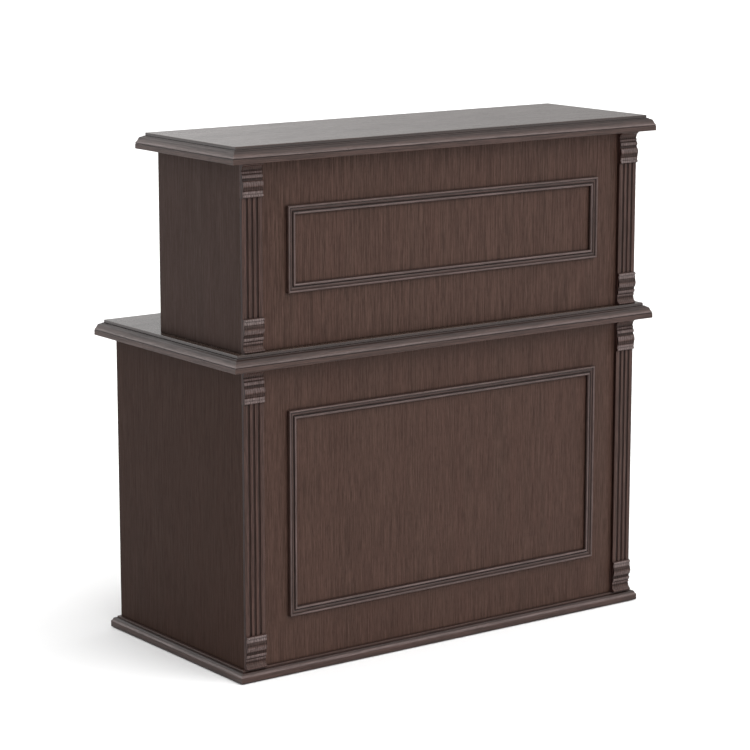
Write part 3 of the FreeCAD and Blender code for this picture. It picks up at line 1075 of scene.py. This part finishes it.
TOP_INSET = 16.5
TOP_SECTION = Outline(
    (
        (TOP_INSET, -8.4),
        (14.9, -8.4),
        (14.2, -7.0),
        (13.0, -7.2),
        ((12.4, -8.2), (11.2, -8.8)),
        ((8.6, -9.7), (5.8, -11.6)),
        (5.5, -12.6),
        ((4.1, -16.2), (2.6, -19.4)),
        ((1.3, -21.2), (0.0, -22.6)),
        (0.0, -23.4),
        (1.1, -23.9),
        (1.1, -24.9),
        (0.0, -25.4),
        (0.0, -36.5),
        (TOP_INSET, -36.5),
    ),
    arris=0.7,
    # Painted shade on the step, the upper slope and the quirk under the nose; painted highlight on
    # the nose.
    glaze_and_painted_light=(
        (-36.5, 0.4),
        (-35.0, 0.3),
        (-26.0, 0.3),
        (-25.2, 1.0),
        (-23.8, 1.0),
        (-23.0, 0.14),
        (-20.5, 0.18),
        (-17.5, 0.4),
        (-12.6, 0.9),
        (-7.0, 1.0),
    ),
    glaze_and_painted_light_by=1,
)
BASE_INSET = 11.0
BASE_SECTION = Outline(
    (
        (BASE_INSET, -3.4),
        (8.6, -3.9),
        ((6.2, -4.6), (4.0, -6.2)),
        (3.8, -7.0),
        ((2.4, -10.0), (0.0, -12.4)),
        (0.0, -26.5),
        (BASE_INSET, -26.5),
    ),
    arris=0.7,
    # Painted shade at the foot and at the step against the body; painted highlight on the nose.
    glaze_and_painted_light=(
        (-26.5, 0.9),
        (-24.6, 0.4),
        (-14.5, 0.3),
        (-12.6, 0.16),
        (-9.6, 0.2),
        (-7.0, 0.8),
        (-3.4, 1.0),
    ),
    glaze_and_painted_light_by=1,
)


# ---------------------------------------------------------------- front ornament
@dataclass
class Carving:
    """Block carved in waves from its fixed end to its free end, and reeded across."""

    width: float
    margin: float = 1.6
    shoulder: float = 0.3
    sharp: float = 30.0
    reeds: int = 8
    reed_depth: float = 0.5
    reed_glaze_and_painted_light: float = 0.35
    reed_stations: tuple[float, ...] = (0.0, 0.07, 0.22, 0.5, 0.78, 0.93)
    face: Outline = Outline(
        (
            (0.0, 0.0),
            (0.0, 12.4),
            (1.5, 12.6),
            ((3.2, 14.9), (5.4, 13.4)),
            ((9.6, 9.2), (15.6, 7.6)),
            (16.2, 6.6),
            (18.2, 6.4),
            (18.8, 7.4),
            ((21.4, 8.8), (24.0, 8.2)),
            (24.6, 7.4),
            (25.4, 7.6),
            (26.0, 9.2),
            ((29.0, 11.2), (33.4, 11.3)),
            (34.4, 9.6),
            ((37.0, 9.3), (39.4, 10.0)),
            (40.2, 11.4),
            ((46.4, 14.2), (52.6, 14.8)),
            (53.8, 13.4),
            ((57.6, 13.4), (61.4, 11.6)),
            (62.2, 12.6),
            ((65.6, 12.4), (69.0, 11.2)),
            (69.8, 12.8),
            ((72.0, 13.8), (74.4, 12.7)),
            (76.5, 8.6),
            (76.5, 0.0),
        ),
        # Painted highlight on the proud bands, dark glaze and painted shade in the grooves between
        # them.
        glaze_and_painted_light=(
            (0.0, 0.9),
            (2.0, 0.3),
            (5.0, 0.2),
            (8.0, 0.4),
            (14.0, 0.4),
            (16.0, 0.8),
            (18.0, 0.8),
            (19.0, 0.15),
            (24.0, 0.15),
            (24.6, 0.8),
            (25.4, 0.8),
            (26.2, 0.1),
            (33.2, 0.05),
            (34.4, 0.95),
            (39.2, 0.9),
            (40.6, 0.1),
            (52.2, 0.15),
            (53.8, 0.8),
            (61.4, 0.7),
            (62.4, 0.0),
            (74.6, 0.0),
            (76.5, 0.8),
        ),
    )

    def build(self, name: str, bearing: Bearing) -> bpy.types.Object:
        """Make the block.

        Args:
            name: The piece's name.
            bearing: Where the block lies: it starts at its fixed end.

        Returns:
            The piece.
        """
        shape = bmesh.new()
        glaze_and_painted_light = shape.verts.layers.float.new(GLAZE_AND_PAINTED_LIGHT_LAYER)
        first_back, *face, last_back = self.face.corners()
        rows = []
        for corner in face:
            row = []
            for along, dip in self._stations():
                row.append(self._spot(shape, bearing, along, corner.x, corner.y - dip))
                # Deeper in a reed, the glaze and painted shade is darker.
                row[-1][glaze_and_painted_light] = self.face.glaze_and_painted_light_at(corner) + self.reed_glaze_and_painted_light * dip
            rows.append(row)
        half = self.width / 2
        backs = [
            [self._spot(shape, bearing, along, back.x, 0.0) for along in (-half, half)]
            for back in (first_back, last_back)
        ]
        for row, further in zip(rows, rows[1:]):
            for index in range(len(row) - 1):
                shape.faces.new((row[index], row[index + 1], further[index + 1], further[index]))
        shape.faces.new([backs[0][0], *rows[0], backs[0][1]])
        shape.faces.new([backs[1][0], *rows[-1], backs[1][1]])
        shape.faces.new([backs[0][0], *[row[0] for row in rows], backs[1][0]])
        shape.faces.new([backs[0][1], *[row[-1] for row in rows], backs[1][1]])
        shape.faces.new([backs[0][0], backs[0][1], backs[1][1], backs[1][0]])
        return make_object(name, shape, self.sharp)

    def _stations(self) -> list[Point]:
        """List the points across the face.

        Returns:
            Distance from the middle, and depth below the face, of each.
        """
        half = self.width / 2
        pitch = (self.width - 2 * self.margin) / self.reeds
        first = self.margin - half
        points = [(-half, 0.0), (first - self.shoulder, 0.0)]
        for reed in range(self.reeds):
            for part in self.reed_stations:
                dip = self.reed_depth * (1 - math.sqrt(1 - (2 * part - 1) ** 2))
                points.append((first + pitch * (reed + part), dip))
        points += [(-first, self.reed_depth), (self.shoulder - first, 0.0), (half, 0.0)]
        return points

    @staticmethod
    def _spot(
        shape: bmesh.types.BMesh, bearing: Bearing, along: float, across: float, out: float
    ) -> bmesh.types.BMVert:
        """Add a vertex of the block.

        Args:
            shape: The edited mesh.
            bearing: Where the block lies.
            along: Distance from the block's middle line, in millimetres.
            across: Distance from its fixed end.
            out: Distance from its back.

        Returns:
            The vertex.
        """
        place = bearing.along * along + bearing.across * across + bearing.out * out
        return shape.verts.new(bearing.origin + place * MM)


@dataclass
class Pilaster:
    """Fluted shaft between two carved blocks at one end of a tier.

    Its glaze and painted light is given at the back, at the bottom of a flute, where the pool of
    dark glaze and painted shade in the flute ends, and where it fades to plain below the face.
    """

    tier: str
    side: str
    flutes: int = 3
    flute_radius: float = 3.0
    arris: float = 0.55
    # Dark glaze and painted shade across the back and pooled in the flutes, plain just below the
    # face.
    glaze_and_painted_light: tuple[float, ...] = (0.6, 0.8, 0.6, PLAIN_GLAZE_AND_PAINTED_LIGHT)
    glaze_and_painted_light_pool: float = 1.6
    plain_depth: float = 0.3
    finish: StainedWood = PILASTER_WOOD

    def build(self) -> list[bpy.types.Object]:
        """Make the shaft and its two blocks.

        Returns:
            The pieces.
        """
        return [self._shaft(), self._block("capital", True), self._block("plinth_block", False)]

    def _shaft(self) -> bpy.types.Object:
        """Make the fluted shaft.

        Returns:
            The piece.
        """
        node = f"{self.tier}_{self.side}_pilaster"
        low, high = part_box(node)
        width = (high.x - low.x) / MM
        proud = (high.y - low.y) / MM
        steps: list = [(0.0, 0.0), (0.0, proud)]
        for flute in range(1, self.flutes + 1):
            middle = width * flute / (self.flutes + 1)
            steps.append((middle - self.flute_radius, proud))
            bottom = (middle, proud - self.flute_radius)
            steps.append((bottom, (middle + self.flute_radius, proud)))
        steps += [(width, proud), (width, 0.0)]
        start = Vector((low.x, high.y, (low.z + high.z) / 2))
        bearing = Bearing(start, UP, RIGHTWARD, FORWARD)
        bottom_of_flute = proud - self.flute_radius
        distances = (0.0, bottom_of_flute, bottom_of_flute + self.glaze_and_painted_light_pool, proud - self.plain_depth)
        glaze_and_painted_light = tuple(zip(distances, self.glaze_and_painted_light))
        outline = Outline(tuple(steps), self.arris, glaze_and_painted_light, 1)
        piece = swept(node + "_shaft", outline, bearing, (high.z - low.z) / 2)
        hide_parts(node)
        return dress(piece, self.finish.material(Grain.UPRIGHT), FIXED_BODY)

    def _block(self, kind: str, hanging: bool) -> bpy.types.Object:
        """Make a carved block.

        Args:
            kind: The CAD node's last word.
            hanging: Whether its fixed end is its top.

        Returns:
            The piece.
        """
        node = f"{self.tier}_{self.side}_{kind}"
        low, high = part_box(node)
        start = Vector(((low.x + high.x) / 2, high.y, high.z if hanging else low.z))
        bearing = Bearing(start, RIGHTWARD, -UP if hanging else UP, FORWARD)
        piece = Carving((high.x - low.x) / MM).build(node + "_carving", bearing)
        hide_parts(node)
        return dress(piece, self.finish.material(Grain.UPRIGHT), FIXED_BODY)


@dataclass
class AppliedFrame:
    """Four mitred mouldings planted on a front panel."""

    tier: str
    finish: StainedWood = MOULDING_WOOD
    section: Outline = Outline(
        (
            (0.0, 0.0),
            (0.0, 7.6),
            ((2.3, 9.4), (4.8, 7.9)),
            (5.8, 6.3),
            ((8.8, 7.0), (11.8, 5.6)),
            (13.0, 4.3),
            (14.0, 4.6),
            ((16.9, 8.2), (19.6, 6.4)),
            (20.5, 4.6),
            (20.5, 0.0),
        ),
        arris=0.4,
        # Painted highlight on the two beads; dark glaze and painted shade in the grooves beside
        # them and at the feet.
        glaze_and_painted_light=(
            (0.0, 0.5),
            (1.2, 0.2),
            (4.4, 0.2),
            (5.6, 1.0),
            (6.6, 0.8),
            (8.0, 0.45),
            (11.0, 0.5),
            (12.4, 1.0),
            (14.0, 1.0),
            (15.0, 0.2),
            (18.8, 0.16),
            (20.2, 0.9),
        ),
    )

    def build(self) -> list[bpy.types.Object]:
        """Make the four members.

        Returns:
            The pieces.
        """
        members = {
            "bottom_rail": (RIGHTWARD, UP, Grain.SIDEWAYS),
            "left_stile": (UP, RIGHTWARD, Grain.UPRIGHT),
            "top_rail": (RIGHTWARD, -UP, Grain.SIDEWAYS),
            "right_stile": (UP, -RIGHTWARD, Grain.UPRIGHT),
        }
        pieces = []
        for word, (along, across, grain) in members.items():
            node = f"{self.tier}_frame_{word}"
            low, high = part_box(node)
            middle = (low + high) / 2
            reach = (high - low) / 2
            start = middle - across * abs(reach.dot(across))
            start.y = high.y
            bearing = Bearing(start, along, across, FORWARD)
            piece = swept(node + "_moulding", self.section, bearing, reach.dot(along), mitre=1.0)
            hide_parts(node)
            material = self.finish.material(grain)
            pieces.append(dress(piece, material, FIXED_BODY))
        return pieces


# ---------------------------------------------------------------- carcass
@dataclass
class Carcass:
    """The boards of the two tiers, which keep their CAD shapes."""

    arris: float = 0.8
    finish: StainedWood = PANEL_WOOD
    upright: tuple[str, ...] = (
        "lower_front_panel",
        "upper_front_panel",
        "lower_partition",
        "upper_partition",
    )
    lower_sides: tuple[str, ...] = ("lower_left_side", "lower_right_side")
    upper_sides: tuple[str, ...] = ("upper_left_side", "upper_right_side")
    level: tuple[str, ...] = (
        "lower_left_shelf",
        "lower_right_shelf",
        "upper_left_shelf",
        "upper_right_shelf",
        "lower_left_rail",
        "lower_right_rail",
    )

    def build(self) -> list[str]:
        """Dress the boards.

        Returns:
            The nodes' names.
        """
        dressed = []
        groups = (
            (self.upright, self.finish.material(Grain.UPRIGHT)),
            # The side boards get the stain copies with painted shade.
            (self.lower_sides, SHADED_SIDE_WOOD.material(Grain.UPRIGHT)),
            (self.upper_sides, UPPER_SHADED_SIDE_WOOD.material(Grain.UPRIGHT)),
            (self.level, self.finish.material(Grain.SIDEWAYS)),
        )
        for names, material in groups:
            for name in names:
                dressed.append(dress_node(name, material, self.arris))
        return dressed


@dataclass
class Fixings:
    """Glides, corner blocks, shelf pins and catch magnets."""

    glide_arris: float = 0.4
    block_arris: float = 0.8
    pin_arris: float = 0.0

    def build(self) -> list[str]:
        """Dress the small fixed parts.

        Returns:
            The nodes' names.
        """
        return [
            dress_node("floor_glides", GLIDE_PLASTIC.material(), self.glide_arris),
            dress_node("corner_blocks", BLOCK_PLASTIC.material(), self.block_arris),
            dress_node("catch_magnets", BLOCK_PLASTIC.material(), self.block_arris),
            dress_node("shelf_pins", NICKEL.material(), self.pin_arris),
        ]


# ---------------------------------------------------------------- doors
@dataclass
class Door:
    """One cupboard door with its knob, hinges and catch plate."""

    side: str
    arris: float = 1.0
    plate_arris: float = 0.2
    pin_arris: float = 0.0
    knob: Outline = Outline(
        (
            (0.0, 0.0),
            (9.5, 0.0),
            (9.5, 2.0),
            ((6.0, 4.4), (5.4, 9.0)),
            ((8.6, 12.6), (13.0, 14.8)),
            ((14.9, 18.4), (12.2, 22.4)),
            ((7.8, 24.8), (2.5, 26.0)),
            (0.0, 26.0),
        ),
        arris=0.3,
    )

    def build(self) -> list[object]:
        """Make the knob and dress the CAD parts.

        Returns:
            The pieces, and the names of the dressed nodes.
        """
        leaf = f"{self.side}_leaf"
        name = f"{self.side}_knob"
        low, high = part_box(name)
        foot = Vector(((low.x + high.x) / 2, low.y, (low.z + high.z) / 2))
        knob = turned(name + "_turning", self.knob, foot, BACKWARD)
        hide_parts(name)
        dress(knob, AGED_BRASS.material(), leaf)
        panel = PANEL_WOOD.material(Grain.UPRIGHT)
        brass = AGED_BRASS.material()
        leaves = [f"{self.side}_hinge_case_leaves", f"{self.side}_hinge_door_leaves"]
        return [
            knob,
            dress_node(f"{self.side}_door", panel, self.arris),
            *[dress_node(name, brass, self.plate_arris) for name in leaves],
            dress_node(f"{self.side}_hinge_pins", brass, self.pin_arris),
            dress_node(
                f"{self.side}_catch_plate", NICKEL.material(), self.plate_arris
            ),
        ]


@dataclass
class CamLock:
    """Cam lock in the right door, its key and its strike."""

    arrises: tuple[tuple[str, float], ...] = (
        ("lock_body", 0.3),
        ("lock_plug", 0.2),
        ("lock_cam", 0.3),
        ("lock_key", 0.2),
        ("lock_strike", 0.3),
    )

    def build(self) -> list[str]:
        """Dress the lock's parts.

        Returns:
            The nodes' names.
        """
        return [
            dress_node(name, NICKEL.material(), arris) for name, arris in self.arrises
        ]


# ---------------------------------------------------------------- studio
@dataclass(frozen=True)
class SkyLobe:
    """Broad soft brightening of the surroundings about one direction."""

    towards: Direction
    tightness: float
    strength: float

    def build(self, bench: Bench) -> bpy.types.NodeSocket:
        """Make the lobe's strength.

        Args:
            bench: The sky's node bench.

        Returns:
            The output socket of the strength.
        """
        dot = bench.add("VectorMath", operation="DOT_PRODUCT")
        bench.feed(dot.inputs[0], bench.add("TexCoord").outputs["Generated"])
        dot.inputs[1].default_value = Vector(self.towards).normalized()
        facing = bench.sums("MAXIMUM", dot.outputs["Value"], 0.0)
        return bench.sums("MULTIPLY", bench.sums("POWER", facing, self.tightness), self.strength)


@dataclass
class Studio:
    """Floor, light and camera, which is turned and pitched in degrees.

    The horizon's extra light fades out between two heights of the view direction.
    """

    camera_at: Vector = field(default_factory=lambda: Vector((-3.7043, -5.0377, 1.8221)))
    turn: float = 36.256
    pitch: float = 11.178
    lens: float = 128.86
    lobes: tuple[SkyLobe, ...] = (
        SkyLobe((0.36, -0.56, 0.75), 3.5, 3.8),
        SkyLobe((-0.45, 0.79, 0.42), 14.0, 3.2),
        SkyLobe((0.0, 0.87, 0.50), 12.0, 1.3),
        SkyLobe((0.30, 0.95, 0.10), 40.0, 1.2),
        SkyLobe((-1.0, 0.0, 0.04), 16.0, 0.45),
    )
    ambient: float = 0.33
    horizon: float = 0.38
    horizon_fade: Point = (0.09, 0.22)
    floor_reach: float = 60.0
    floor_cells: int = 8
    sensor: float = 36.0

    def build(self) -> list[bpy.types.Object]:
        """Make the camera, the light and the floor.

        Returns:
            The floor.
        """
        self._camera()
        self._sky()
        bpy.context.scene.view_settings.view_transform = "Standard"
        return [self._floor()]

    def _camera(self) -> None:
        """Place the camera."""
        camera = bpy.data.objects.new("camera", bpy.data.cameras.new("camera"))
        camera.data.lens = self.lens
        camera.data.sensor_width = self.sensor
        camera.location = self.camera_at
        camera.rotation_euler = (math.radians(90 - self.pitch), 0.0, -math.radians(self.turn))
        bpy.context.scene.collection.objects.link(camera)
        bpy.context.scene.camera = camera

    def _sky(self) -> None:
        """Surround the object with plain soft light."""
        world = bpy.data.worlds.new("studio")
        bench = Bench(world)
        total: object = self.ambient
        for lobe in self.lobes:
            total = bench.sums("ADD", total, lobe.build(bench))
        height = bench.add("SeparateXYZ")
        bench.feed(height.inputs[0], bench.add("TexCoord").outputs["Generated"])
        band = bench.spread(height.outputs["Z"], self.horizon_fade, (self.horizon, 0.0))
        background = bench.add("Background")
        background.inputs["Color"].default_value = (1.0, 1.0, 1.0, 1.0)
        bench.feed(background.inputs["Strength"], bench.sums("ADD", total, band))
        bench.feed(bench.add("OutputWorld").inputs["Surface"], background.outputs[0])
        bpy.context.scene.world = world

    def _floor(self) -> bpy.types.Object:
        """Lay the floor.

        Returns:
            The floor.
        """
        shape = bmesh.new()
        cells = self.floor_cells
        bmesh.ops.create_grid(shape, x_segments=cells, y_segments=cells, size=self.floor_reach)
        floor = make_object("studio_floor", shape)
        floor.data.materials.append(StudioFloor().material())
        return floor


def main() -> None:
    """Build every sub-assembly in order and report its pieces."""
    logging.basicConfig(level=logging.INFO, format="%(message)s")
    assemblies = [
        Studio(),
        MouldedBoard("upper_top", TOP_INSET, TOP_SECTION, TOP_WOOD, MOULDING_WOOD),
        MouldedBoard("worktop", TOP_INSET, TOP_SECTION, TOP_WOOD, MOULDING_WOOD),
        MouldedBoard("base_board", BASE_INSET, BASE_SECTION, MOULDING_WOOD, MOULDING_WOOD),
        Carcass(),
        *[Pilaster(tier, side) for tier in TIERS for side in SIDES],
        *[AppliedFrame(tier) for tier in TIERS],
        Fixings(),
        *[Door(side) for side in SIDES],
        CamLock(),
    ]
    for assembly in assemblies:
        for piece in assembly.build():
            LOG.info("%s: %s", type(assembly).__name__, getattr(piece, "name", piece))


if __name__ == "__main__":
    main()
